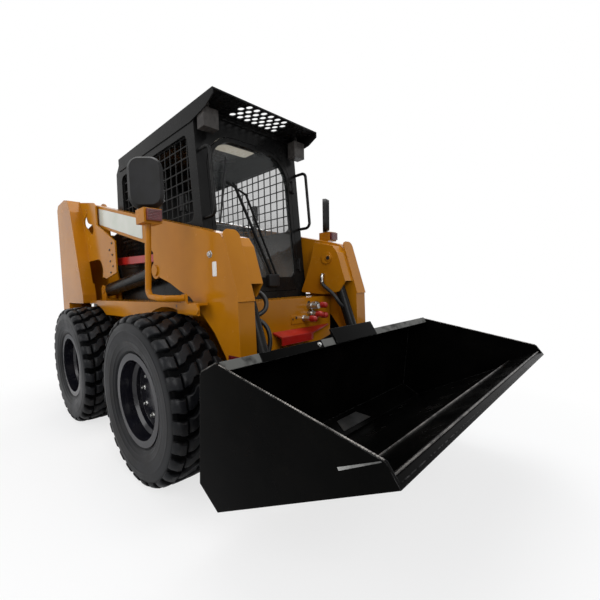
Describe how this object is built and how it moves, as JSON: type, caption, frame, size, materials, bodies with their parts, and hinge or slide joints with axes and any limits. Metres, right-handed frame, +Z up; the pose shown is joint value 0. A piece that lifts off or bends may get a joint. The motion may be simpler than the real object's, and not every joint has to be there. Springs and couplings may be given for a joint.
{
  "type": "skid steer loader",
  "caption": "Compact wheeled loader with a closed cab, twin lift arms, hydraulic cylinders and a curled earth bucket.",
  "frame": {"origin": "bottom centre of the machine's box, on the ground between the wheels", "axes": "+X to the machine's left, -Y forward, +Z up"},
  "size_m": [1.782, 3.3134, 2.07],
  "materials": {
    "black_paint": "semi-gloss black enamel",
    "black_plastic": "moulded black plastic",
    "bucket_black": "glossy black paint on plate",
    "chrome": "hard chrome",
    "glass": "clear safety glass",
    "iron": "dark cast iron",
    "lamp_glass": "lamp lens",
    "red_lens": "red lamp lens",
    "red_paint": "red enamel",
    "seat_vinyl": "black vinyl",
    "steel": "bare worn steel",
    "tyre": "black tread rubber",
    "yellow_paint": "glossy ochre enamel"
  },
  "bodies": {
    "chassis": {"axle_housings": "iron", "cab_roof": "black_paint", "cab_shell": "black_paint", "control_levers": "black_plastic", "engine_block": "iron", "engine_cowl": "black_paint", "fenders": "yellow_paint", "front_step": "red_paint", "grab_handles": "black_paint", "left_tower": "yellow_paint", "main_frame": "yellow_paint", "marker_lamps": "red_lens", "mirror_heads": "black_plastic", "mirror_posts": "yellow_paint", "operator_seat": "seat_vinyl", "quick_couplers": "black_plastic", "rear_bumper": "black_paint", "rear_window": "glass", "right_tower": "yellow_paint", "side_grilles": "black_paint", "work_lights": "lamp_glass"},
    "boom": {"boom_cross_tube": "yellow_paint", "boom_support": "red_paint", "left_lift_arm": "yellow_paint", "right_lift_arm": "yellow_paint"},
    "bucket": {"bucket": "bucket_black", "cutting_edge": "steel", "quick_hitch": "bucket_black"},
    "cab_door": {"cab_door": "black_paint", "door_glass": "glass"},
    "engine_hood": {"engine_hood": "yellow_paint"},
    "front_left_wheel": {"front_left_rim": "black_paint", "front_left_tyre": "tyre"},
    "front_right_wheel": {"front_right_rim": "black_paint", "front_right_tyre": "tyre"},
    "lap_bar": {"lap_bar": "black_paint"},
    "left_lift_barrel": {"left_lift_barrel": "black_paint"},
    "left_lift_rod": {"left_lift_rod": "chrome"},
    "left_tilt_barrel": {"left_tilt_barrel": "black_paint"},
    "left_tilt_rod": {"left_tilt_rod": "chrome"},
    "rear_door": {"rear_door": "yellow_paint"},
    "rear_left_wheel": {"rear_left_rim": "black_paint", "rear_left_tyre": "tyre"},
    "rear_right_wheel": {"rear_right_rim": "black_paint", "rear_right_tyre": "tyre"},
    "right_lift_barrel": {"right_lift_barrel": "black_paint"},
    "right_lift_rod": {"right_lift_rod": "chrome"},
    "right_tilt_barrel": {"right_tilt_barrel": "black_paint"},
    "right_tilt_rod": {"right_tilt_rod": "chrome"}
  },
  "joints": [
    {"name": "front_left_spin", "type": "hinge", "parent": "chassis", "child": "front_left_wheel", "pos_m": [0.71, -0.26834, 0.46], "axis": [1, 0, 0], "continuous": true},
    {"name": "front_right_spin", "type": "hinge", "parent": "chassis", "child": "front_right_wheel", "pos_m": [-0.71, -0.26834, 0.46], "axis": [1, 0, 0], "continuous": true},
    {"name": "rear_left_spin", "type": "hinge", "parent": "chassis", "child": "rear_left_wheel", "pos_m": [0.71, 0.94166, 0.46], "axis": [1, 0, 0], "continuous": true},
    {"name": "rear_right_spin", "type": "hinge", "parent": "chassis", "child": "rear_right_wheel", "pos_m": [-0.71, 0.94166, 0.46], "axis": [1, 0, 0], "continuous": true},
    {"name": "boom_lift", "type": "hinge", "parent": "chassis", "child": "boom", "pos_m": [0, 1.11666, 1.708], "axis": [-1, 0, 0], "range_deg": [0, 65]},
    {"name": "bucket_tilt", "type": "hinge", "parent": "boom", "child": "bucket", "pos_m": [0, -0.82934, 0.313], "axis": [1, 0, 0], "range_deg": [0, 120]},
    {"name": "left_lift_barrel_swing", "type": "hinge", "parent": "chassis", "child": "left_lift_barrel", "pos_m": [0.515, 0.91166, 1.045], "axis": [-1, 0, 0], "range_deg": [0, 55.72]},
    {"name": "left_lift_rod_slide", "type": "slide", "parent": "left_lift_barrel", "child": "left_lift_rod", "axis": [0, -0.9928, 0.1197], "range_m": [0, 0.7166]},
    {"name": "left_tilt_barrel_swing", "type": "hinge", "parent": "boom", "child": "left_tilt_barrel", "pos_m": [0.42, -0.63234, 1.208], "axis": [1, 0, 0], "range_deg": [-2.42, 0]},
    {"name": "left_tilt_rod_slide", "type": "slide", "parent": "left_tilt_barrel", "child": "left_tilt_rod", "axis": [0, -0.3142, -0.9494], "range_m": [0, 0.3992]},
    {"name": "right_lift_barrel_swing", "type": "hinge", "parent": "chassis", "child": "right_lift_barrel", "pos_m": [-0.515, 0.91166, 1.045], "axis": [-1, 0, 0], "range_deg": [0, 55.72]},
    {"name": "right_lift_rod_slide", "type": "slide", "parent": "right_lift_barrel", "child": "right_lift_rod", "axis": [0, -0.9928, 0.1197], "range_m": [0, 0.7166]},
    {"name": "right_tilt_barrel_swing", "type": "hinge", "parent": "boom", "child": "right_tilt_barrel", "pos_m": [-0.42, -0.63234, 1.208], "axis": [1, 0, 0], "range_deg": [-2.42, 0]},
    {"name": "right_tilt_rod_slide", "type": "slide", "parent": "right_tilt_barrel", "child": "right_tilt_rod", "axis": [0, -0.3142, -0.9494], "range_m": [0, 0.3992]},
    {"name": "cab_door_swing", "type": "hinge", "parent": "chassis", "child": "cab_door", "pos_m": [0.378, -0.37195, 1.47415], "axis": [0, 0.0873, 0.9962], "range_deg": [0, 80]},
    {"name": "rear_door_swing", "type": "hinge", "parent": "chassis", "child": "rear_door", "pos_m": [0.426, 1.60166, 1], "axis": [0, 0, -1], "range_deg": [0, 100]},
    {"name": "engine_hood_lift", "type": "hinge", "parent": "chassis", "child": "engine_hood", "pos_m": [0, 1.01766, 1.514], "axis": [1, 0, 0], "range_deg": [0, 55]},
    {"name": "lap_bar_lift", "type": "hinge", "parent": "chassis", "child": "lap_bar", "pos_m": [0, 0.52166, 1.548], "axis": [-1, 0, 0], "range_deg": [0, 60]}
  ],
  "couplings": [
    {"joint": "left_lift_barrel_swing", "follows": "boom_lift", "ratio": 0.84953},
    {"joint": "left_lift_rod_slide", "follows": "boom_lift", "m_per_rad": 0.62989},
    {"joint": "left_tilt_barrel_swing", "follows": "bucket_tilt", "ratio": -0.01763},
    {"joint": "left_tilt_rod_slide", "follows": "bucket_tilt", "m_per_rad": 0.18964},
    {"joint": "right_lift_barrel_swing", "follows": "boom_lift", "ratio": 0.84953},
    {"joint": "right_lift_rod_slide", "follows": "boom_lift", "m_per_rad": 0.62989},
    {"joint": "right_tilt_barrel_swing", "follows": "bucket_tilt", "ratio": -0.01763},
    {"joint": "right_tilt_rod_slide", "follows": "bucket_tilt", "m_per_rad": 0.18964}
  ]
}
